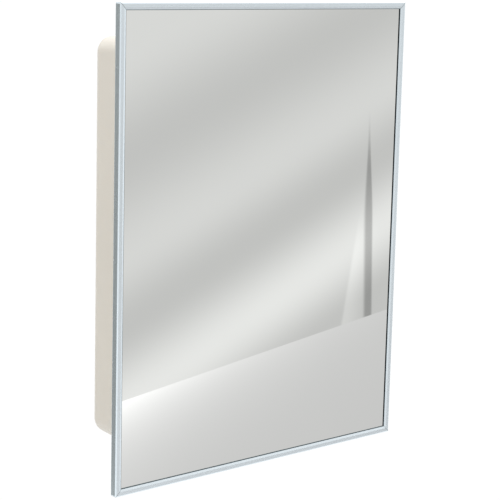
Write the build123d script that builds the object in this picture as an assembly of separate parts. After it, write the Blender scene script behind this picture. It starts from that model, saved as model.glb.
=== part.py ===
"""Recessed medicine cabinet with one mirrored swing door.

A moulded tub sits in a hole in the wall and its flange rests on the wall face. The door is a
mirror in a mitred sheet-metal frame. It swings on a continuous hinge at its right edge and is
held shut by a magnetic catch at its left edge.

Millimetres. The origin is at the middle of the flange's rear face, which is the wall face.
+X points to the right of someone who stands in front, +Y into the wall and +Z up.
"""

import os
from math import radians, tan

from build123d import *

# ---- Door -----------------------------------------------------------------------------------
door_width = 406.4
door_height = 508.0
sheet = 0.8  # the frame's metal
frame_flat = 5.0  # flat part of the frame's face
frame_bevel = 3.0  # sloping lip that comes down on the glass
lip_drop = 1.2  # how far the lip's tip lies behind the frame's face
frame_return = 16.0  # the frame's rear leg
edge_radius = 1.5  # outside bends of the frame
corner_radius = 1.8  # outer corners of the door, ground after mitring
mitre_gap = 0.12
glass = 3.0
backing = 2.1
back_panel = 1.0
glass_inset = 2.5  # from the door's outer edge to the glass
panel_inset = 9.0  # from the door's outer edge to the backing and the back panel

key_width = 7.0
key_leg = 25.0
key_glass_gap = 0.1
cushion_length = 22.0
cushion_corner_distance = 70.0

# ---- Tub ------------------------------------------------------------------------------------
# from the tub's outside, at the wall face, to the door's outer edge
door_overlap_side = 40.0
door_overlap_end = 34.5
recess_depth = 91.3
draft_angle = 3.0
wall = 2.5
tub_corner_radius = 17.0
tub_rear_radius = 14.0
flange_thickness = 2.5
flange_inset = 7.0  # the door overhangs the flange by this much
flange_corner_radius = 8.0
mouth_radius = 2.0
flange_edge_radius = 0.8

# ---- Shelves --------------------------------------------------------------------------------
ledge_pitch = 35.0
ledge_pad_gap = 10.0  # least distance from a ledge to the pad of a wall screw
shelf_row = 2  # the row, counted from the middle, that each shelf rests on
ledge_thickness = 2.5
ledge_reach = 5.0
ledge_front = 10.0
shelf_thickness = 2.5
shelf_clearance = 1.0
shelf_front = 6.0
shelf_lip = 2.0
shelf_lip_rise = 7.0
shelf_lip_fall = 4.0

# ---- Wall screws ----------------------------------------------------------------------------
screw_hole_radius = 2.5
screw_hole_depth = 22.0  # behind the wall face
screw_hole_from_end = 69.5  # from the tub's top and bottom
screw_pad_radius = 7.0
screw_pad_proud = 0.5

# ---- Hinge ----------------------------------------------------------------------------------
knuckle_radius = 2.0
knuckle_clearance = 0.3
knuckle_pitch = 19.0
hinge_end_gap = 35.0  # least distance from the hinge to the door's ends
leaf = 0.8
leaf_width = 13.0
pin_radius = 1.1
pin_clearance = 0.05
pin_edge_distance = 2.5  # from the pin's axis to the door's outer edge
pin_head_radius = 1.7
pin_head = 0.8

door_screw_count = 5
door_screw_end = 18.5  # from the hinge's end to the last screw
door_screw_knuckle_gap = 0.6  # from a screw's head to the knuckles
door_screw_radius = 1.25
door_screw_head_radius = 1.9
door_screw_head = 1.2
door_screw_reach = 2.2  # past the frame's return

rivet_from_pin = 9.0
rivet_radius = 1.6
rivet_head_radius = 2.6
rivet_head = 0.9
rivet_tail_radius = 2.5
rivet_tail = 1.1
rivet_pocket_radius = 3.0
rivet_pocket = 1.4

# ---- Magnetic catch ---------------------------------------------------------------------------
catch_height = 26.0  # the block
catch_reach = 12.0  # from its seat towards the middle of the cabinet
catch_length = 18.0
catch_skin = 1.5
catch_mouth_rim = 1.1
ear_height = 10.0
ear_thickness = 2.5
ear_set_back = 6.3
catch_pad_proud = 2.3
catch_pad_length = 16.0
catch_pad_margin = 2.0
pole = 1.2
pole_proud = 1.2
pole_shoulder = 1.0
pole_mouth_clearance = 0.2
magnet_thickness = 5.0
magnet_set_back = 1.0
magnet_travel = 0.8
magnet_air_gap = 0.2
catch_screw_radius = 1.4
catch_screw_head_radius = 2.5
catch_screw_head = 1.5
catch_screw_bite = 3.4
slot_extra = 2.4

strike_width = 16.0
strike_height = 42.0
strike = 1.2
strike_rivet_spacing = 30.0
strike_rivet_radius = 1.2
strike_rivet_head_radius = 2.2
strike_rivet_head = 0.2
strike_rivet_tail = 0.9
strike_rivet_room = 3.0

# ---- Bumpers ----------------------------------------------------------------------------------
bumper_radius = 4.0
bumper_inset = 11.5  # from the door's outer edge
bumper_from_end = 54.0  # from the door's top and bottom
bumper_stem_radius = 1.5
bumper_stem = 2.2

# ---- Places that follow from the sizes --------------------------------------------------------
half_width = door_width / 2
half_height = door_height / 2
tub_width = door_width - 2 * door_overlap_side
tub_height = door_height - 2 * door_overlap_end
door_depth = lip_drop + sheet + glass + backing + back_panel + sheet
door_gap = 2 * (knuckle_radius + knuckle_clearance)

flange_face = -flange_thickness
door_rear = flange_face - door_gap
door_front = door_rear - door_depth
glass_front = door_front + lip_drop + sheet
glass_rear = glass_front + glass
panel_front = glass_rear + backing
panel_rear = panel_front + back_panel

pin_x = half_width - pin_edge_distance
pin_y = flange_face - door_gap / 2
# an odd number of knuckles, so that the body's leaf has the knuckle at each end
knuckle_pairs = int(((door_height - 2 * hinge_end_gap) / knuckle_pitch - 1) / 2)
knuckle_count = 2 * knuckle_pairs + 1
hinge_length = knuckle_count * knuckle_pitch
door_screw_inset = (
    pin_edge_distance + knuckle_radius + door_screw_knuckle_gap + door_screw_head_radius
)
door_screw_spacing = (hinge_length - 2 * door_screw_end) / (door_screw_count - 1)
rivet_x = pin_x - rivet_from_pin

slope = tan(radians(draft_angle))
screw_hole_height = tub_height / 2 - screw_hole_from_end
ledge_room = screw_hole_height - screw_pad_radius - ledge_pad_gap
ledge_rows = int(ledge_room / ledge_pitch)  # above the middle, and as many below it
shelf_level = shelf_row * ledge_pitch
bumper_x = bumper_inset - half_width
bumper_height = half_height - bumper_from_end
strike_face = panel_rear + strike
pole_front = strike_face + magnet_air_gap
catch_front = pole_front + pole_proud
catch_rear = catch_front + catch_length


def inner_half(y, outer_half):
    """Half the clear width or height of the tub at depth y."""
    return outer_half - wall - slope * y


catch_seat = -(inner_half(0, tub_width / 2) - catch_pad_proud)
catch_axis = catch_seat + catch_reach / 2
pocket_half_height = catch_height / 2 - catch_skin
mouth_half_height = pocket_half_height - catch_mouth_rim
mouth_half_width = magnet_thickness / 2 + pole + pole_mouth_clearance
pole_half_height = mouth_half_height - pole_mouth_clearance
shoulder_half_height = pole_half_height + pole_shoulder


# ---- Helpers ----------------------------------------------------------------------------------
def block(x0, x1, y0, y1, z0, z1):
    """A box between two planes on each axis."""
    middle = Pos((x0 + x1) / 2, (y0 + y1) / 2, (z0 + z1) / 2)
    return middle * Box(x1 - x0, y1 - y0, z1 - z0)


def rod_x(radius, x0, x1, y, z):
    """A cylinder along X."""
    return Pos((x0 + x1) / 2, y, z) * Rot(0, 90, 0) * Cylinder(radius, x1 - x0)


def rod_y(radius, x, y0, y1, z):
    """A cylinder along Y."""
    return Pos(x, (y0 + y1) / 2, z) * Rot(90, 0, 0) * Cylinder(radius, y1 - y0)


def rod_z(radius, x, y, z0, z1):
    """A cylinder along Z."""
    return Pos(x, y, (z0 + z1) / 2) * Cylinder(radius, z1 - z0)


def facing_front(y):
    """A sketch plane at depth y whose x is +X and whose y is +Z."""
    return Plane(origin=(0, y, 0), x_dir=(1, 0, 0), z_dir=(0, -1, 0))


def slab(sketch, y0, y1):
    """A sketch in X and Z, given thickness from y0 to y1."""
    return extrude(facing_front(y1) * sketch, y1 - y0, dir=(0, -1, 0))


def plan_prism(sketch, z0, z1):
    """A sketch in X and Y, given height from z0 to z1."""
    return extrude(Plane.XY.offset(z0) * sketch, z1 - z0, dir=(0, 0, 1))


def fused(pieces):
    """One solid from several that overlap."""
    whole = pieces[0]
    for piece in pieces[1:]:
        whole = whole + piece
    return whole


def cross_recess_y(x, y, z, depth, span):
    """The cross-shaped driver recess of a screw head that faces -Y, with its mouth at y."""
    arm = span / 4
    across = block(x - span / 2, x + span / 2, y, y + depth, z - arm / 2, z + arm / 2)
    upright = block(x - arm / 2, x + arm / 2, y, y + depth, z - span / 2, z + span / 2)
    return across + upright


def write(name, solids):
    """One file for one node, which holds one solid or a group of separate ones."""
    shape = solids[0] if len(solids) == 1 else Compound(children=list(solids))
    export_step(shape, f"parts/{name}.step")


# ---- Door -------------------------------------------------------------------------------------
def frame_section():
    """The frame's sheet in section: x runs in from the door's edge, y runs back from its face."""
    face_end = frame_flat + frame_bevel
    outline = Polygon(
        (0, 0),
        (frame_flat, 0),
        (face_end, lip_drop),
        (face_end, lip_drop + sheet),
        (frame_flat, sheet),
        (sheet, sheet),
        (sheet, door_depth - sheet),
        (frame_return, door_depth - sheet),
        (frame_return, door_depth),
        (0, door_depth),
        align=None,
    )
    inside = edge_radius - sheet
    for x, y, radius in (
        (0, 0, edge_radius),
        (0, door_depth, edge_radius),
        (sheet, sheet, inside),
        (sheet, door_depth - sheet, inside),
        (frame_flat, 0, sheet),
    ):
        corner = min(outline.vertices(), key=lambda v: abs(v.X - x) + abs(v.Y - y))
        outline = fillet(corner, radius)
    return outline


def frame_rail(length):
    """A straight rail of the frame, along X, as the bottom one lies, centred on x = 0."""
    section_plane = Plane(origin=(-length / 2, door_front, 0), x_dir=(0, 0, 1), z_dir=(-1, 0, 0))
    return extrude(section_plane * frame_section(), length, dir=(1, 0, 0))


def mitred(length):
    """A rail cut at 45 degrees at both ends, its outer edge at z = 0."""
    inner = frame_return + 1.0
    trim = mitre_gap / 2 * 2**0.5
    end = length / 2 - trim
    wedge = Polygon((-end, 0), (end, 0), (end - inner, inner), (-end + inner, inner), align=None)
    return frame_rail(length) & slab(wedge, door_front - 1, door_rear + 1)


def middle_out(count, spacing):
    """Heights, evenly spaced about the middle."""
    return [(i - (count - 1) / 2) * spacing for i in range(count)]


def door_outline():
    """A prism that rounds the door's outer corners."""
    sketch = RectangleRounded(door_width, door_height, corner_radius)
    return slab(sketch, door_front - 1, door_rear + 1)


def door_screw_heights():
    """Heights of the screws in the hinge's door leaf."""
    return middle_out(door_screw_count, door_screw_spacing)


def rivet_heights():
    """Heights of the rivets in the body leaf, midway between the door's screws."""
    return middle_out(door_screw_count - 1, door_screw_spacing)


def frame_sides():
    """The four members, by node name."""
    long_rail = mitred(door_height)
    short_rail = mitred(door_width)
    screw_holes = [
        rod_y(door_screw_radius, half_width - door_screw_inset, door_rear - 2 * sheet, door_rear, z)
        for z in door_screw_heights()
    ]
    members = {
        "frame_bottom": Pos(0, 0, -half_height) * short_rail,
        "frame_top": Pos(0, 0, half_height) * Rot(0, 180, 0) * short_rail,
        "frame_left": Pos(-half_width, 0, 0) * Rot(0, 90, 0) * long_rail,
        "frame_right": Pos(half_width, 0, 0) * Rot(0, -90, 0) * long_rail - screw_holes,
    }
    return {name: member & door_outline() for name, member in members.items()}


def corner_keys():
    """Four L-shaped keys that lie in the frame, behind the glass."""
    x = half_width - sheet
    z = half_height - sheet
    keys = []
    for sx in (-1, 1):
        for sz in (-1, 1):
            points = (
                (sx * x, sz * z),
                (sx * (x - key_leg), sz * z),
                (sx * (x - key_leg), sz * (z - key_width)),
                (sx * (x - key_width), sz * (z - key_width)),
                (sx * (x - key_width), sz * (z - key_leg)),
                (sx * x, sz * (z - key_leg)),
            )
            rear = door_rear - sheet
            key = slab(Polygon(*points, align=None), glass_rear + key_glass_gap, rear)
            keys.append(chamfer(key.faces().sort_by(Axis.Y)[-1].edges(), edge_radius - sheet))
    return keys


def glass_cushions():
    """Two blocks on each side that centre the glass in the frame."""
    x = half_width - sheet
    z = half_height - sheet
    thickness = glass_inset - sheet
    along_x = half_width - cushion_corner_distance
    along_z = half_height - cushion_corner_distance
    half = cushion_length / 2
    blocks = []
    for s in (-1, 1):
        for t in (-1, 1):
            side = sorted((s * x, s * (x - thickness)))
            level = sorted((s * z, s * (z - thickness)))
            up = t * along_z
            across = t * along_x
            blocks.append(block(*side, glass_front, glass_rear, up - half, up + half))
            blocks.append(block(across - half, across + half, glass_front, glass_rear, *level))
    return blocks


def door_sheet(inset, y0, y1, radius):
    """A flat sheet in the door, set in from the door's outer edge."""
    sketch = RectangleRounded(door_width - 2 * inset, door_height - 2 * inset, radius)
    return slab(sketch, y0, y1)


def strike_rivet_heights():
    """Heights of the two rivets of the strike plate."""
    return middle_out(2, strike_rivet_spacing)


def mirror_backing():
    """Corrugated card behind the glass, with room for the tails of the strike's rivets."""
    board = door_sheet(panel_inset, glass_rear, panel_front, 1.0)
    for z in strike_rivet_heights():
        board = board - rod_y(strike_rivet_room, catch_axis, glass_rear, panel_front, z)
    return board


def door_back_panel():
    """The sheet that closes the back of the door."""
    panel = door_sheet(panel_inset, panel_front, panel_rear, 1.0)
    for z in strike_rivet_heights():
        panel = panel - rod_y(strike_rivet_radius, catch_axis, panel_front, panel_rear, z)
    return panel


def strike_plate():
    """The steel plate that the magnet holds."""
    sketch = Pos(catch_axis, 0) * RectangleRounded(strike_width, strike_height, 2.5)
    plate = slab(sketch, panel_rear, strike_face)
    for z in strike_rivet_heights():
        plate = plate - rod_y(strike_rivet_radius, catch_axis, panel_rear, strike_face, z)
        plate = plate - rod_y(
            strike_rivet_head_radius, catch_axis, strike_face - strike_rivet_head, strike_face, z
        )
    return plate


def strike_rivets():
    """Two flush rivets through the strike plate and the back panel."""
    rivets = []
    for z in strike_rivet_heights():
        head = rod_y(
            strike_rivet_head_radius, catch_axis, strike_face - strike_rivet_head, strike_face, z
        )
        shank = rod_y(strike_rivet_radius, catch_axis, panel_front, strike_face, z)
        tail = rod_y(
            strike_rivet_head_radius, catch_axis, panel_front - strike_rivet_tail, panel_front, z
        )
        rivets.append(head + shank + tail)
    return rivets


# ---- Hinge ------------------------------------------------------------------------------------
def knuckle_spans(first):
    """Heights (bottom, top) of every second knuckle, from the one numbered first."""
    base = -hinge_length / 2
    return [
        (base + i * knuckle_pitch, base + (i + 1) * knuckle_pitch)
        for i in range(first, knuckle_count, 2)
    ]


def hinge_leaf(plate_y0, first, other, hole_radius, hole_x, hole_heights):
    """A leaf with its knuckles, cut away around the knuckles of the other leaf."""
    gap = knuckle_clearance / 2
    ends = hinge_length / 2 - gap
    plate = block(pin_x - leaf_width, pin_x, plate_y0, plate_y0 + leaf, -ends, ends)
    room = knuckle_radius + knuckle_clearance
    for z0, z1 in knuckle_spans(other):
        plate = plate - block(
            pin_x - room, pin_x + room, pin_y - room, pin_y + room, z0 - gap, z1 + gap
        )
    knuckles = [
        rod_z(knuckle_radius, pin_x, pin_y, z0 + gap, z1 - gap) for z0, z1 in knuckle_spans(first)
    ]
    body = fused([plate] + knuckles)
    body = body - rod_z(pin_radius + pin_clearance, pin_x, pin_y, -hinge_length, hinge_length)
    holes = [
        rod_y(hole_radius, hole_x, plate_y0, plate_y0 + leaf, z) for z in hole_heights
    ]
    return body - holes


def hinge_leaf_body():
    """The leaf that is riveted to the flange."""
    return hinge_leaf(
        flange_face - leaf, 0, 1, rivet_radius, rivet_x, rivet_heights()
    )


def hinge_leaf_door():
    """The leaf that is screwed to the door."""
    hole_x = half_width - door_screw_inset
    return hinge_leaf(door_rear, 1, 0, door_screw_radius, hole_x, door_screw_heights())


def hinge_pin():
    """The pin, with a staked head at each end."""
    end = hinge_length / 2 - knuckle_clearance / 2
    pin = rod_z(pin_radius, pin_x, pin_y, -end, end)
    lower = rod_z(pin_head_radius, pin_x, pin_y, -end - pin_head, -end)
    upper = rod_z(pin_head_radius, pin_x, pin_y, end, end + pin_head)
    return fused([pin, lower, upper])


def hinge_screws_door():
    """Pan-head screws through the door leaf into the frame's return."""
    x = half_width - door_screw_inset
    seat = door_rear + leaf
    screws = []
    for z in door_screw_heights():
        head = rod_y(door_screw_head_radius, x, seat, seat + door_screw_head, z)
        rim = head.edges().filter_by(GeomType.CIRCLE).sort_by(Axis.Y)[-1]
        head = fillet(rim, door_screw_head / 2)
        tip = door_rear - sheet - door_screw_reach
        shank = rod_y(door_screw_radius, x, tip, seat, z)
        depth = door_screw_head / 2
        recess = cross_recess_y(x, seat + door_screw_head - depth, z, depth, door_screw_head_radius)
        screws.append(head + shank - recess)
    return screws


def hinge_rivets_body():
    """Rivets through the body leaf and the flange, their tails in pockets behind it."""
    top = flange_face - leaf
    pocket_floor = -rivet_pocket
    rivets = []
    for z in rivet_heights():
        head = rod_y(rivet_head_radius, rivet_x, top - rivet_head, top, z)
        rim = head.edges().filter_by(GeomType.CIRCLE).sort_by(Axis.Y)[0]
        head = fillet(rim, rivet_head * 0.8)
        shank = rod_y(rivet_radius, rivet_x, top, pocket_floor, z)
        tail = rod_y(rivet_tail_radius, rivet_x, pocket_floor, pocket_floor + rivet_tail, z)
        rivets.append(fused([head, shank, tail]))
    return rivets


# ---- Magnetic catch -----------------------------------------------------------------------------
def catch_screw_places():
    """Depth and heights of the two catch screws."""
    y = (catch_front + ear_set_back + catch_rear) / 2
    z = catch_height / 2 + ear_height / 2
    return [(y, -z), (y, z)]


def catch_housing():
    """A block with a pocket for the magnet and an ear with a slot at each end."""
    body = block(
        catch_seat, catch_seat + catch_reach, catch_front, catch_rear, -catch_height / 2, catch_height / 2
    )
    edges = body.edges().filter_by(Axis.Y).group_by(Axis.X)[-1]
    body = fillet(edges, 1.2)
    top = catch_height / 2 + ear_height
    ears = block(
        catch_seat, catch_seat + ear_thickness, catch_front + ear_set_back, catch_rear, -top, top
    )
    ears = fillet(ears.edges().filter_by(Axis.X), 1.5)
    pocket = block(
        catch_seat + catch_skin,
        catch_seat + catch_reach - catch_skin,
        catch_front + catch_skin,
        catch_rear - catch_skin,
        -pocket_half_height,
        pocket_half_height,
    )
    mouth = block(
        catch_axis - mouth_half_width,
        catch_axis + mouth_half_width,
        catch_front,
        catch_front + catch_skin,
        -mouth_half_height,
        mouth_half_height,
    )
    housing = body + ears - pocket - mouth
    for y, z in catch_screw_places():
        for shift in (-slot_extra / 2, slot_extra / 2):
            housing = housing - rod_x(
                catch_screw_radius, catch_seat, catch_seat + ear_thickness, y + shift, z
            )
        housing = housing - block(
            catch_seat,
            catch_seat + ear_thickness,
            y - slot_extra / 2,
            y + slot_extra / 2,
            z - catch_screw_radius,
            z + catch_screw_radius,
        )
    return housing


def pole_plates():
    """Two steel plates beside the magnet, with shoulders that keep them in the housing."""
    shoulder_y = catch_front + catch_skin
    rear = catch_rear - catch_skin - magnet_travel - pole_mouth_clearance
    plates = []
    for side in (-1, 1):
        near = side * magnet_thickness / 2
        far = side * (magnet_thickness / 2 + pole)
        x0, x1 = sorted((catch_axis + near, catch_axis + far))
        nose = block(x0, x1, pole_front, shoulder_y, -pole_half_height, pole_half_height)
        body = block(x0, x1, shoulder_y, rear, -shoulder_half_height, shoulder_half_height)
        plates.append(nose + body)
    return plates


def catch_magnet():
    """The magnet between the pole plates."""
    shoulder_y = catch_front + catch_skin
    rear = catch_rear - catch_skin - magnet_travel - pole_mouth_clearance
    return block(
        catch_axis - magnet_thickness / 2,
        catch_axis + magnet_thickness / 2,
        shoulder_y + magnet_set_back,
        rear - magnet_set_back,
        -pole_half_height,
        pole_half_height,
    )


def catch_screws():
    """Two screws through the ears into the tub's side wall."""
    seat = catch_seat + ear_thickness
    screws = []
    for y, z in catch_screw_places():
        head = rod_x(catch_screw_head_radius, seat, seat + catch_screw_head, y, z)
        rim = head.edges().filter_by(GeomType.CIRCLE).sort_by(Axis.X)[-1]
        head = fillet(rim, catch_screw_head / 2)
        shank = rod_x(catch_screw_radius, catch_seat - catch_screw_bite, seat, y, z)
        arm = catch_screw_head_radius / 4
        depth = catch_screw_head / 2
        x0 = seat + catch_screw_head - depth
        x1 = seat + catch_screw_head
        half = catch_screw_head_radius / 2
        recess = block(x0, x1, y - half, y + half, z - arm / 2, z + arm / 2)
        recess = recess + block(x0, x1, y - arm / 2, y + arm / 2, z - half, z + half)
        screws.append(head + shank - recess)
    return screws


# ---- Tub ----------------------------------------------------------------------------------------
def drafted_box(width, height, corner, y0, y1, rear_radius):
    """A box with drafted sides, as wide as stated at the wall face, and a rounded rear edge."""
    ends = []
    for y in (y0, y1):
        lean = 2 * slope * y
        ends.append(facing_front(y) * RectangleRounded(width - lean, height - lean, corner))
    box = loft(ends, ruled=True)
    rear_edges = box.faces().sort_by(Axis.Y)[-1].edges()
    return fillet(rear_edges, rear_radius)


def side_ledge(side, top):
    """One moulded ledge on a side wall, from just inside the mouth to near the back."""
    y0 = ledge_front
    y1 = recess_depth - wall - tub_rear_radius / 2
    root = wall / 2
    points = [
        (inner_half(y0, tub_width / 2) + root, y0),
        (inner_half(y0, tub_width / 2) - ledge_reach, y0),
        (inner_half(y1, tub_width / 2) - ledge_reach, y1),
        (inner_half(y1, tub_width / 2) + root, y1),
    ]
    sketch = Polygon(*[(side * x, y) for x, y in points], align=None)
    return plan_prism(sketch, top - ledge_thickness, top)


def ledge_tops():
    """Heights of the ledges' top faces."""
    rows = [i * ledge_pitch for i in range(1, ledge_rows + 1)]
    return [-z for z in rows] + rows


def screw_pad(side, z):
    """A flat seat for a wall screw's head on the inside of a drafted side wall."""
    rear = screw_hole_depth + screw_pad_radius
    seat = inner_half(rear, tub_width / 2) - screw_pad_proud
    root = inner_half(rear, tub_width / 2) + wall / 2
    x0, x1 = sorted((side * seat, side * root))
    return rod_x(screw_pad_radius, x0, x1, screw_hole_depth, z)


def catch_pad():
    """A squared pad on the left wall that the catch sits on."""
    top = catch_height / 2 + ear_height + catch_pad_margin
    outer = -(inner_half(catch_pad_length, tub_width / 2) + wall / 2)
    return block(outer, catch_seat, 0, catch_pad_length, -top, top)


def body_tub():
    """The moulded tub with its flange, ledges, pads and holes."""
    shell = drafted_box(tub_width, tub_height, tub_corner_radius, 0, recess_depth, tub_rear_radius)
    flange_sketch = RectangleRounded(
        door_width - 2 * flange_inset, door_height - 2 * flange_inset, flange_corner_radius
    )
    flange = slab(flange_sketch, flange_face, 0)
    flange = fillet(flange.faces().sort_by(Axis.Y)[0].edges(), flange_edge_radius)
    cavity = drafted_box(
        tub_width - 2 * wall,
        tub_height - 2 * wall,
        tub_corner_radius - wall,
        flange_face,
        recess_depth - wall,
        tub_rear_radius - wall,
    )
    tub = shell + flange - cavity
    mouth = tub.faces().filter_by(Plane.XZ).sort_by(Axis.Y)[0].inner_wires()[0].edges()
    tub = fillet(mouth, mouth_radius)
    for top in ledge_tops():
        for side in (-1, 1):
            tub = tub + side_ledge(side, top)
    tub = tub + catch_pad()
    for side in (-1, 1):
        for z in (-screw_hole_height, screw_hole_height):
            tub = tub + screw_pad(side, z)
    return tub - tub_holes()


def tub_holes():
    """Holes for the wall screws, the catch screws, the hinge's rivets and the bumpers."""
    holes = []
    for side in (-1, 1):
        x0, x1 = sorted((side * tub_width / 2 * 0.9, side * tub_width / 2 * 1.1))
        for z in (-screw_hole_height, screw_hole_height):
            holes.append(rod_x(screw_hole_radius, x0, x1, screw_hole_depth, z))
    for y, z in catch_screw_places():
        holes.append(rod_x(catch_screw_radius, catch_seat - catch_screw_bite, catch_seat, y, z))
    for z in rivet_heights():
        holes.append(rod_y(rivet_radius, rivet_x, flange_face, 0, z))
        holes.append(rod_y(rivet_pocket_radius, rivet_x, -rivet_pocket, 0, z))
    for z in (-bumper_height, bumper_height):
        holes.append(rod_y(bumper_stem_radius, bumper_x, flange_face, 0, z))
    return holes


def bumper_pads():
    """Two rubber buttons on the flange that the closed door rests against."""
    pads = []
    for z in (-bumper_height, bumper_height):
        button = rod_y(bumper_radius, bumper_x, door_rear, flange_face, z)
        rim = button.edges().filter_by(GeomType.CIRCLE).sort_by(Axis.Y)[0]
        button = fillet(rim, 1.0)
        stem = rod_y(bumper_stem_radius, bumper_x, flange_face, flange_face + bumper_stem, z)
        pads.append(button + stem)
    return pads


# ---- Shelves ------------------------------------------------------------------------------------
def shelf(level):
    """A lift-out shelf on the ledges whose top faces are at this height."""
    rear = recess_depth - wall - shelf_clearance
    front_half = inner_half(shelf_front, tub_width / 2) - shelf_clearance
    rear_half = inner_half(rear, tub_width / 2) - shelf_clearance
    outline = Polygon(
        (-front_half, shelf_front),
        (front_half, shelf_front),
        (rear_half, rear),
        (-rear_half, rear),
        align=None,
    )
    rear_corners = outline.vertices().group_by(Axis.Y)[-1]
    outline = fillet(rear_corners, tub_rear_radius)
    plate = plan_prism(outline, level, level + shelf_thickness)
    lip_rear = shelf_front + shelf_lip
    lip_half = inner_half(lip_rear, tub_width / 2) - shelf_clearance
    lip = block(
        -lip_half, lip_half, shelf_front, lip_rear, level - shelf_lip_fall, level + shelf_lip_rise
    )
    ends = lip.edges().filter_by(Axis.Y)
    lip = fillet(ends, 1.5)
    return plate + lip


# ---- Write every node ---------------------------------------------------------------------------
os.makedirs("parts", exist_ok=True)

write("body_tub", [body_tub()])
write("shelf_lower", [shelf(-shelf_level)])
write("shelf_upper", [shelf(shelf_level)])
write("hinge_leaf_body", [hinge_leaf_body()])
write("hinge_leaf_door", [hinge_leaf_door()])
write("hinge_pin", [hinge_pin()])
write("hinge_rivets_body", hinge_rivets_body())
write("hinge_screws_door", hinge_screws_door())
write("catch_housing", [catch_housing()])
write("catch_magnet", [catch_magnet()])
write("catch_pole_plates", pole_plates())
write("catch_screws", catch_screws())
write("bumper_pads", bumper_pads())
for frame_name, frame_member in frame_sides().items():
    write(frame_name, [frame_member])
write("corner_keys", corner_keys())
write("glass_cushions", glass_cushions())
write("mirror_glass", [door_sheet(glass_inset, glass_front, glass_rear, 1.0)])
write("mirror_backing", [mirror_backing()])
write("door_back_panel", [door_back_panel()])
write("strike_plate", [strike_plate()])
write("strike_rivets", strike_rivets())
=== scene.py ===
"""Recessed medicine cabinet: finishes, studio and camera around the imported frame.

Metres, in the cabinet's own frame: +X right, +Y into the wall, +Z up, the wall face at y = 0.
"""

import math

import bpy
from mathutils import Matrix, Vector


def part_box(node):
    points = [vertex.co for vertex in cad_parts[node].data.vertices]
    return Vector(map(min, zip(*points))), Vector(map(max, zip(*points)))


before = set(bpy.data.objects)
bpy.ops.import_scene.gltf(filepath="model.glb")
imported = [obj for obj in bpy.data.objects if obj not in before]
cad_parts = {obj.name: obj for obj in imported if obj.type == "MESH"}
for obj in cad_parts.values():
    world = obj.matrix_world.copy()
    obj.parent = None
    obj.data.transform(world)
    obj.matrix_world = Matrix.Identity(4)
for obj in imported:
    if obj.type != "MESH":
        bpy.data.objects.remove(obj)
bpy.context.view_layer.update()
MM = 0.001

# The mix node has a set of sockets for each kind of value. These are the ones for colours.
FIRST_COLOUR, SECOND_COLOUR, MIXED_COLOUR = 6, 7, 2


# ---- Shader sums ------------------------------------------------------------------------------
class Amount:
    """A number that varies over a surface. Python sums on it add Math nodes."""

    def __init__(self, finish, socket):
        self.finish = finish
        self.socket = socket

    def worked(self, operation, *values, clamp=False):
        settings = {"operation": operation, "use_clamp": clamp}
        sockets = dict(enumerate(values))
        return self.finish.amount("ShaderNodeMath", settings, sockets)

    def __add__(self, other):
        return self.worked("ADD", self, other)

    def __radd__(self, other):
        return self.worked("ADD", other, self)

    def __sub__(self, other):
        return self.worked("SUBTRACT", self, other)

    def __rsub__(self, other):
        return self.worked("SUBTRACT", other, self)

    def __mul__(self, other):
        return self.worked("MULTIPLY", self, other)

    def __rmul__(self, other):
        return self.worked("MULTIPLY", other, self)

    def __truediv__(self, other):
        return self.worked("DIVIDE", self, other)

    def __rtruediv__(self, other):
        return self.worked("DIVIDE", other, self)

    def sine(self):
        return self.worked("SINE", self)

    def size(self):
        return self.worked("ABSOLUTE", self)

    def kept_in(self):
        """Clamped between 0 and 1."""
        return self.worked("ADD", self, 0.0, clamp=True)

    def between(self, low, high):
        """0 below low, 1 above high and smooth between them."""
        settings = {"interpolation_type": "SMOOTHSTEP"}
        sockets = {"Value": self, "From Min": low, "From Max": high}
        return self.finish.amount("ShaderNodeMapRange", settings, sockets)


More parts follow.
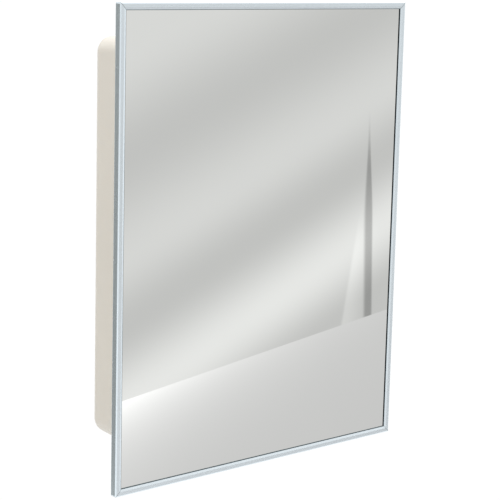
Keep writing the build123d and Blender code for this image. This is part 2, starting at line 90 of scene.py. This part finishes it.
class Finish:
    """The node tree of one material, or of the world."""

    def __init__(self, tree):
        self.tree = tree
        tree.nodes.clear()

    def feed(self, node, name, value):
        """Sets a socket to a value, or links it to an amount or to another node's output."""
        socket = node.inputs[name]
        if isinstance(value, Amount):
            self.tree.links.new(value.socket, socket)
        elif isinstance(value, bpy.types.NodeSocket):
            self.tree.links.new(value, socket)
        else:
            socket.default_value = value

    def node(self, kind, settings=None, sockets=None):
        """Any node: its settings first, then the values or links of its sockets."""
        node = self.tree.nodes.new(kind)
        for name, value in (settings or {}).items():
            setattr(node, name, value)
        for name, value in (sockets or {}).items():
            self.feed(node, name, value)
        return node

    def amount(self, kind, settings=None, sockets=None):
        """What a node gives at its first output, for use in sums."""
        return Amount(self, self.node(kind, settings, sockets).outputs[0])

    def place(self):
        """Where a point lies on the object, in metres."""
        return self.node("ShaderNodeTexCoord").outputs["Object"]

    def axes(self):
        """The point's X, Y and Z, each as an amount."""
        parts = self.node("ShaderNodeSeparateXYZ", None, {0: self.place()})
        return [Amount(self, parts.outputs[i]) for i in range(3)]

    def stretched(self, scale):
        """The point with each axis scaled: features per metre along X, Y and Z."""
        settings = {"vector_type": "TEXTURE"}
        sizes = tuple(1 / s for s in scale)
        node = self.node("ShaderNodeMapping", settings, {"Vector": self.place(), "Scale": sizes})
        return node.outputs[0]

    def grain(self, per_metre, detail, roughness=0.5):
        """Soft noise from 0 to 1. per_metre is one number, or one for each axis."""
        if isinstance(per_metre, (int, float)):
            per_metre = (per_metre,) * 3
        sockets = {
            "Vector": self.stretched(per_metre),
            "Scale": 1.0,
            "Detail": detail,
            "Roughness": roughness,
        }
        return self.amount("ShaderNodeTexNoise", None, sockets)

    def specks(self, per_metre, size):
        """Sparse round specks, 1 in the middle of each and 0 between them. size is in cells."""
        solid_part = 0.4
        settings = {"feature": "F1"}
        sockets = {"Vector": self.place(), "Scale": per_metre, "Randomness": 1.0}
        distance = self.amount("ShaderNodeTexVoronoi", settings, sockets)
        return 1 - distance.between(size * solid_part, size)

    def mixed(self, share, first, second):
        """A colour that goes from first to second as share goes from 0 to 1."""
        sockets = {"Factor": share, FIRST_COLOUR: first, SECOND_COLOUR: second}
        return self.node("ShaderNodeMix", {"data_type": "RGBA"}, sockets).outputs[MIXED_COLOUR]

    def scaled(self, tint, level):
        """A colour made level times as bright."""
        sockets = {0: tint[:3], "Scale": level}
        return self.node("ShaderNodeVectorMath", {"operation": "SCALE"}, sockets).outputs[0]

    def bump(self, height, depth, strength, under=None):
        """A normal from a height of 0 to 1 that stands for depth metres, on top of another."""
        sockets = {"Height": height, "Distance": depth, "Strength": strength}
        if under is not None:
            sockets["Normal"] = under
        return self.node("ShaderNodeBump", None, sockets).outputs[0]


def colour(red, green, blue):
    """A colour with no transparency."""
    return (red, green, blue, 1.0)


def band(across, low, middle, high):
    """A soft band: 1 at the middle, 0 at low and at high."""
    return across.between(low, middle) * (1 - across.between(middle, high))


def surfaced(name, shader):
    """A material whose surface is the node that shader makes in its tree."""
    material = bpy.data.materials.new(name)
    material.use_nodes = True
    finish = Finish(material.node_tree)
    finish.node("ShaderNodeOutputMaterial", None, {"Surface": shader(finish).outputs[0]})
    return material


def finished(name, recipe):
    """A material whose surface is what the recipe gives: sockets of one Principled shader."""
    return surfaced(name, lambda f: f.node("ShaderNodeBsdfPrincipled", None, recipe(f)))


# ---- Finishes ---------------------------------------------------------------------------------
def moulded_plastic(light, shade, gloss=0.34):
    """Polystyrene: a faint mould texture, slow colour drift, scuffs and dust specks."""
    dusty_part = 0.8
    grey = colour(*(part * dusty_part for part in shade[:3]))

    def recipe(f):
        drift = f.grain(9, 2.0)
        flow = f.grain((18, 18, 60), 3.0)
        peel = f.grain(900, 2.0)
        fine = f.grain(3800, 1.0)
        scuff = f.grain((40, 40, 400), 4.0, 0.7).between(0.62, 0.8)
        dust = f.specks(260, 0.05) * f.grain(30, 2.0).between(0.45, 0.7)
        base = f.mixed(drift * 0.6 + flow * 0.4, light, shade)
        surface = f.bump(fine, 0.02 * MM, 0.5, f.bump(peel, 0.08 * MM, 0.6))
        return {
            "Base Color": f.mixed(dust * 0.35, base, grey),
            "Roughness": gloss + peel * 0.08 + scuff * 0.12 + dust * 0.15,
            "Normal": surface,
            "IOR": 1.57,
            "Subsurface Weight": 0.06,
            "Subsurface Scale": 4 * MM,
            "Subsurface Radius": (1.0, 0.8, 0.6),
        }

    return recipe


# The axis that the brush lines of a frame member follow: Z or X.
UPRIGHT, LEVEL = 2, 0


def brushed(along, light, shade, roughness):
    """Satin sheet metal: brush lines along one axis, a painted shadow line along the lip's inner edge by
    the glass, and dark mitre lines.
    """
    half_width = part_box("frame_right")[1].x
    half_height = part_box("frame_top")[1].z
    glass_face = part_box("mirror_glass")[0].y
    face_width = 8 * MM
    # Where the painted shadow line lies: a thin band along the lip's inner edge, around the depth of the
    # glass face.
    shadow_line_edge = (face_width - 0.65 * MM, face_width - 0.5 * MM)
    shadow_line_front = (glass_face - 1.2 * MM, glass_face - 1.05 * MM)
    shadow_line_rear = (glass_face + 0.1 * MM, glass_face + 0.3 * MM)
    mitre_line = (0.2 * MM, 0.75 * MM)
    line_depth = 0.006 * MM
    fine = [2600.0] * 3
    fine[along] = 14.0
    coarse = [700.0] * 3
    coarse[along] = 5.0
    # The colour of the painted shadow line, also used for the dark mitre joints.
    shadow_line_and_mitre_colour, mitre_darkness = colour(0.05, 0.075, 0.085), 0.5

    def recipe(f):
        x, y, z = f.axes()
        from_side, from_end = half_width - x.size(), half_height - z.size()
        inwards = from_side if along == UPRIGHT else from_end
        # Painted shade: a dark line where the gap between the lip and the mirror falls in shadow.
        shadow_line = inwards.between(*shadow_line_edge) * (1 - y.between(*shadow_line_rear)) * y.between(*shadow_line_front)
        mitre = 1 - (from_side - from_end).size().between(*mitre_line)
        shadow_line_and_mitre = shadow_line + mitre * (1 - shadow_line) * mitre_darkness
        lines = f.grain(fine, 3.0, 0.6)
        bands = f.grain(coarse, 2.0)
        stain = f.grain(22, 3.0)
        finger = f.grain(60, 4.0, 0.6).between(0.55, 0.75)
        sheen = f.mixed(bands * 0.5 + stain * 0.5, light, shade)
        return {
            # The painted shadow line and the dark mitre joints darken the steel here.
            "Base Color": f.mixed(shadow_line_and_mitre, sheen, shadow_line_and_mitre_colour),
            "Metallic": 1 - shadow_line_and_mitre * 0.8,
            "Roughness": roughness + lines * 0.1 + stain * 0.05 + finger * 0.05 + shadow_line * 0.3,
            "Normal": f.bump(lines, line_depth, 0.6, f.bump(bands, line_depth * 3, 0.4)),
            "Anisotropic": 0.35,
        }

    return recipe


def plated(light, shade, roughness):
    """Zinc-plated or rolled metal: mottled, with fine rolling marks."""

    def recipe(f):
        mottle = f.grain(420, 4.0, 0.6)
        drift = f.grain(35, 3.0)
        wear = f.grain(1500, 2.0)
        return {
            "Base Color": f.mixed(mottle * 0.6 + drift * 0.4, light, shade),
            "Metallic": 1.0,
            "Roughness": roughness + mottle * 0.14 + drift * 0.06,
            "Normal": f.bump(wear, 0.01 * MM, 0.5),
        }

    return recipe


def silvered(f):
    """Mirror glass: silvered, almost flat, with faint wiping marks and a few dust specks."""
    wipes = f.grain((22, 22, 140), 4.0, 0.6)
    haze = f.grain(7, 2.0)
    dust = f.specks(170, 0.035) * f.grain(16, 2.0).between(0.5, 0.75)
    clear = colour(0.90, 0.925, 0.915)
    dull = colour(0.86, 0.885, 0.875)
    return {
        "Base Color": f.mixed(haze * 0.5 + dust * 0.5, clear, dull),
        "Metallic": 1.0,
        "Roughness": 0.006 + wipes * 0.012 + dust * 0.25,
        "Normal": f.bump(haze, 0.02 * MM, 0.2),
        "Coat Weight": 0.5,
        "Coat Roughness": 0.01,
    }


def painted_sheet(light, shade):
    """Roller-coated steel: slight orange peel, soft sheen and fine scratches."""

    def recipe(f):
        peel = f.grain(700, 3.0)
        drift = f.grain(12, 3.0)
        scratch = f.grain((30, 900, 900), 2.0, 0.7).between(0.68, 0.78)
        return {
            "Base Color": f.mixed(drift, light, shade),
            "Roughness": 0.38 + peel * 0.1 - scratch * 0.1,
            "Normal": f.bump(peel, 0.05 * MM, 0.5),
            "IOR": 1.5,
        }

    return recipe


def kraft_board(f):
    """Corrugated card: fibres, flecks and the shadow of the flutes."""
    flute_pitch = 4.8 * MM
    light, shade, speck = colour(0.46, 0.33, 0.20), colour(0.36, 0.25, 0.15), colour(0.22, 0.15, 0.09)
    fibre = f.grain((900, 900, 130), 4.0, 0.65)
    fleck = f.specks(420, 0.12)
    flute = ((f.axes()[0] * (2 * math.pi / flute_pitch)).sine() + 1) * 0.5
    brown = f.mixed(fibre * 0.7 + flute * 0.3, light, shade)
    return {
        "Base Color": f.mixed(fleck * 0.5, brown, speck),
        "Roughness": 0.82 + fibre * 0.12,
        "Normal": f.bump(flute, 0.06 * MM, 0.4, f.bump(fibre, 0.05 * MM, 0.6)),
    }


def rubbery(light, shade):
    """Soft rubber: matt, faintly pitted and dusty."""

    def recipe(f):
        pits = f.grain(2200, 3.0)
        drift = f.grain(180, 3.0)
        return {
            "Base Color": f.mixed(drift, light, shade),
            "Roughness": 0.66 + pits * 0.2,
            "Normal": f.bump(pits, 0.04 * MM, 0.6),
            "Sheen Weight": 0.1,
        }

    return recipe


def ferrite(f):
    """Sintered magnet: dark grey, pitted, with bright chipped grains."""
    pits = f.grain(1800, 5.0, 0.7)
    chips = f.specks(900, 0.12)
    return {
        "Base Color": f.mixed(pits, colour(0.05, 0.05, 0.055), colour(0.10, 0.10, 0.105)),
        "Roughness": 0.55 + pits * 0.25 - chips * 0.15,
        "Metallic": chips * 0.3,
        "Normal": f.bump(pits, 0.05 * MM, 0.7),
    }


def frame_finishes():
    """The door frame's steel, for its upright members and for its level ones."""
    steel_light = colour(0.82, 0.90, 0.95)
    steel_shade = colour(0.76, 0.84, 0.89)
    gloss = 0.2
    upright = brushed(UPRIGHT, steel_light, steel_shade, gloss)
    level = brushed(LEVEL, steel_light, steel_shade, gloss)
    return finished("stainless_brushed_upright", upright), finished("stainless_brushed_level", level)


def plastic_finishes():
    """The plastics of the tub, the shelves and the catch's housing."""
    tub = moulded_plastic(colour(0.74, 0.70, 0.63), colour(0.70, 0.66, 0.59))
    shelf = moulded_plastic(colour(0.80, 0.78, 0.73), colour(0.76, 0.74, 0.69), 0.3)
    catch = moulded_plastic(colour(0.82, 0.82, 0.80), colour(0.78, 0.78, 0.76), 0.36)
    return (
        finished("tub_polystyrene", tub),
        finished("shelf_polystyrene", shelf),
        finished("catch_plastic", catch),
    )


def hardware_finishes():
    """The metals of the hinge, the screws, the rivets and the catch's plates."""
    hinge = plated(colour(0.68, 0.69, 0.70), colour(0.56, 0.57, 0.58), 0.3)
    zinc = plated(colour(0.72, 0.73, 0.76), colour(0.60, 0.62, 0.66), 0.25)
    rivet = plated(colour(0.78, 0.79, 0.80), colour(0.68, 0.69, 0.70), 0.32)
    pole = plated(colour(0.50, 0.50, 0.50), colour(0.40, 0.40, 0.40), 0.35)
    return (
        finished("hinge_steel", hinge),
        finished("zinc_plated", zinc),
        finished("rivet_aluminium", rivet),
        finished("pole_steel", pole),
    )


def soft_finishes():
    """The nylon of the corner keys, and the rubber of the bumpers and cushions."""
    key = rubbery(colour(0.10, 0.10, 0.11), colour(0.07, 0.07, 0.08))
    rubber = rubbery(colour(0.52, 0.52, 0.50), colour(0.46, 0.46, 0.44))
    return finished("key_nylon", key), finished("bumper_rubber", rubber)


def coat_nodes():
    """Gives every CAD node its finish."""
    upright, level = frame_finishes()
    tub, shelf, catch = plastic_finishes()
    hinge, zinc, rivet, pole = hardware_finishes()
    key, rubber = soft_finishes()
    panel_paint = painted_sheet(colour(0.78, 0.78, 0.76), colour(0.74, 0.74, 0.72))
    finishes = {
        "body_tub": tub,
        "shelf_lower": shelf,
        "shelf_upper": shelf,
        "hinge_leaf_body": hinge,
        "hinge_leaf_door": hinge,
        "hinge_pin": hinge,
        "hinge_rivets_body": rivet,
        "hinge_screws_door": zinc,
        "catch_housing": catch,
        "catch_magnet": finished("ferrite_magnet", ferrite),
        "catch_pole_plates": pole,
        "catch_screws": zinc,
        "bumper_pads": rubber,
        "frame_top": level,
        "frame_bottom": level,
        "frame_left": upright,
        "frame_right": upright,
        "corner_keys": key,
        "glass_cushions": rubber,
        "mirror_glass": finished("silvered_mirror", silvered),
        "mirror_backing": finished("kraft_board", kraft_board),
        "door_back_panel": finished("panel_paint", panel_paint),
        "strike_plate": pole,
        "strike_rivets": rivet,
    }
    for name, material in finishes.items():
        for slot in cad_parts[name].material_slots:
            slot.material = material


# ---- Studio -----------------------------------------------------------------------------------
FLOOR_LEVEL = -0.80
FLOOR_REACH = 40.0
CARD_LEFT = Vector((0.40, -1.646, FLOOR_LEVEL))
CARD_RIGHT = Vector((2.80, -2.324, FLOOR_LEVEL))
CARD_HEIGHT = 1.35
WHITE = colour(1.0, 1.0, 1.0)


def glowing(name, recipe):
    """A stage material that shines with what the recipe gives: a colour and how much of it."""
    return surfaced(name, lambda f: f.node("ShaderNodeEmission", None, {"Color": f.scaled(*recipe(f))}))


def flat_sheet(name, corners, material):
    """A stage piece of one flat face."""
    mesh = bpy.data.meshes.new(name)
    mesh.from_pydata([tuple(c) for c in corners], [], [tuple(range(len(corners)))])
    mesh.materials.append(material)
    sheet = bpy.data.objects.new(name, mesh)
    bpy.context.scene.collection.objects.link(sheet)
    return sheet


def level_sheet(name, height, corner, far_corner, material):
    """A stage piece that lies level between two opposite corners."""
    x0, y0, x1, y1 = *corner, *far_corner
    corners = [(x0, y0), (x1, y0), (x1, y1), (x0, y1)]
    return flat_sheet(name, [Vector((x, y, height)) for x, y in corners], material)


def upright_sheet(name, left, right, height, material):
    """A stage piece that stands on the line between two points."""
    rise = Vector((0, 0, height))
    return flat_sheet(name, [left, right, right + rise, left + rise], material)


def pale_floor():
    """A glowing white floor with painted shade: it gets a little greyer far away in front of the
    cabinet.
    """
    paper, far_loss = 1.03, 0.24
    far, near = -10.0, -2.5

    def recipe(f):
        x, y, z = f.axes()
        # Painted shade: the floor's glow falls off far in front of the cabinet.
        return WHITE, paper - (1 - y.between(far, near)) * far_loss

    reach = (FLOOR_REACH, FLOOR_REACH)
    level_sheet("floor", FLOOR_LEVEL, -Vector(reach), reach, glowing("floor_paper", recipe))


def mirrored_floor():
    """What the mirror shows of the floor: grey paper with a pool of light at the card's foot."""
    paper, tint = 0.632, colour(1.0, 0.98, 0.975)
    pool_light, pool_limit = 0.505, (0.4, 1.2)
    fall_right, fall_back, fall_start = 3.55, 6.28, 7.27
    pool_left = (0.4, 0.85)
    near_corner, far_corner = (0.3, -3.2), (4.0, -0.7)

    def recipe(f):
        x, y, z = f.axes()
        fading = x * -fall_right - y * fall_back - fall_start
        pool = f.amount("ShaderNodeMath", {"operation": "EXPONENT"}, {0: fading}) * pool_light
        pool = pool - pool.between(*pool_limit) * (pool - pool_limit[0])
        return tint, paper + (pool * x.between(*pool_left)).kept_in()

    material = glowing("mirrored_paper", recipe)
    just_above = FLOOR_LEVEL + 2 * MM
    sheet = level_sheet("mirrored_floor", just_above, near_corner, far_corner, material)
    sheet.visible_camera = False
    sheet.visible_diffuse = False


def mirror_card():
    """A pale card in front of the mirror: soft slanting bands of light, and a stand's shadow."""
    paper, tint = 0.60, colour(1.0, 0.985, 0.97)
    slant, spread = 0.34, 0.1
    first_band, first_light = (-1.26, -1.10, -0.92), 0.286
    second_band, second_light = (-0.91, -0.764, -0.54), 0.142
    top_edge, top_light = (-0.54, -0.31), 0.16
    beam_lean, beam_light = 0.2615, 0.11
    beam_edge, beam_fade, beam_top = (2.476, 2.498), (2.49, 2.64), (-0.64, -0.42)
    stand_place, stand_lean = 2.395, 0.055
    stand_half_width, wider_at_foot = 0.005, 0.017
    foot_top, stand_top = (-0.50, -0.20), (-0.34, -0.14)
    stand_left, stand_right, stand_shade = (-1.7, -0.6), (0.7, 1.25), 0.42

    def recipe(f):
        x, y, z = f.axes()
        across = (z - x * slant) / (x * spread + 1)
        level = paper + band(across, *first_band) * first_light
        level = level + band(across, *second_band) * second_light
        level = level + across.between(*top_edge) * top_light
        off_beam = x - z * beam_lean
        beam = off_beam.between(*beam_edge) * (1 - off_beam.between(*beam_fade))
        beam = beam * (1 - z.between(*beam_top))
        half_width = stand_half_width + (1 - z.between(*foot_top)) * wider_at_foot
        off_stand = (x + z * stand_lean - stand_place) / half_width
        stand = off_stand.between(*stand_left) * (1 - off_stand.between(*stand_right))
        stand = stand * (1 - z.between(*stand_top))
        return tint, (level + beam * beam_light) * (1 - stand * stand_shade)

    card = upright_sheet("mirror_card", CARD_LEFT, CARD_RIGHT, CARD_HEIGHT, glowing("card_grey", recipe))
    card.visible_camera = False


def side_flag():
    """A grey flag behind and to the left, for the door's side to reflect."""
    grey, top_light, tint = 0.305, 0.05, colour(0.985, 1.0, 0.965)
    low, high = -0.75, 0.35
    foot = Vector((-1.10, 0.95, -0.79))
    half_length = Vector((0.75, 0.66, 0.0))
    height = 1.28

    def recipe(f):
        x, y, z = f.axes()
        return tint, grey + z.between(low, high) * top_light

    material = glowing("flag_grey", recipe)
    flag = upright_sheet("side_flag", foot - half_length, foot + half_length, height, material)
    flag.visible_camera = False


def room_light():
    """A white surround, brighter overhead and a little greyer in front of the cabinet."""
    overhead, overhead_light = (0.15, 0.9), 0.7
    in_front, near_level, front_loss = (0.1, 0.8), (-0.02, 0.3), 0.24
    world = bpy.data.worlds.new("studio")
    bpy.context.scene.world = world
    world.use_nodes = True
    f = Finish(world.node_tree)
    direction = f.node("ShaderNodeTexCoord").outputs["Generated"]
    parts = f.node("ShaderNodeSeparateXYZ", None, {0: direction})
    height = Amount(f, parts.outputs["Z"])
    forwards = Amount(f, parts.outputs["Y"]) * -1
    greyer = forwards.between(*in_front) * (1 - height.between(*near_level))
    level = 1.0 + height.between(*overhead) * overhead_light - greyer * front_loss
    shader = f.node("ShaderNodeBackground", None, {"Color": f.scaled(WHITE, level)})
    f.node("ShaderNodeOutputWorld", None, {"Surface": shader.outputs[0]})


def studio():
    """A white room, with what the mirror and the door's side reflect standing out of view."""
    pale_floor()
    mirrored_floor()
    mirror_card()
    side_flag()
    room_light()


# ---- Camera -----------------------------------------------------------------------------------
def camera():
    """Stands to the left of the door and a little above its top, and looks slightly down."""
    film_width, focal_length = 36.0, 119.15
    turn, dip, tilt = math.radians(41.65), math.radians(10.13), math.radians(1.42)
    from_door_top = Vector((-1.1936, -1.3134, 0.0492))
    front = min(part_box("frame_top")[0].y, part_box("frame_left")[0].y)
    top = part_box("frame_top")[1].z
    ahead = Vector(
        (math.sin(turn) * math.cos(dip), math.cos(turn) * math.cos(dip), -math.sin(dip))
    )
    level_right = Vector((math.cos(turn), -math.sin(turn), 0))
    level_up = level_right.cross(ahead)
    right = level_right * math.cos(tilt) + level_up * math.sin(tilt)
    up = level_up * math.cos(tilt) - level_right * math.sin(tilt)
    data = bpy.data.cameras.new("camera")
    data.sensor_width = film_width
    data.lens = focal_length
    data.clip_start = 0.05
    data.clip_end = 200.0
    holder = bpy.data.objects.new("camera", data)
    place = Matrix.Translation(Vector((0, front, top)) + from_door_top)
    holder.matrix_world = place @ Matrix((right, up, -ahead)).transposed().to_4x4()
    bpy.context.scene.collection.objects.link(holder)
    bpy.context.scene.camera = holder


# ---- Put together -----------------------------------------------------------------------------
bpy.context.scene.view_settings.view_transform = "Standard"
coat_nodes()
studio()
camera()

bpy.context.view_layer.update()
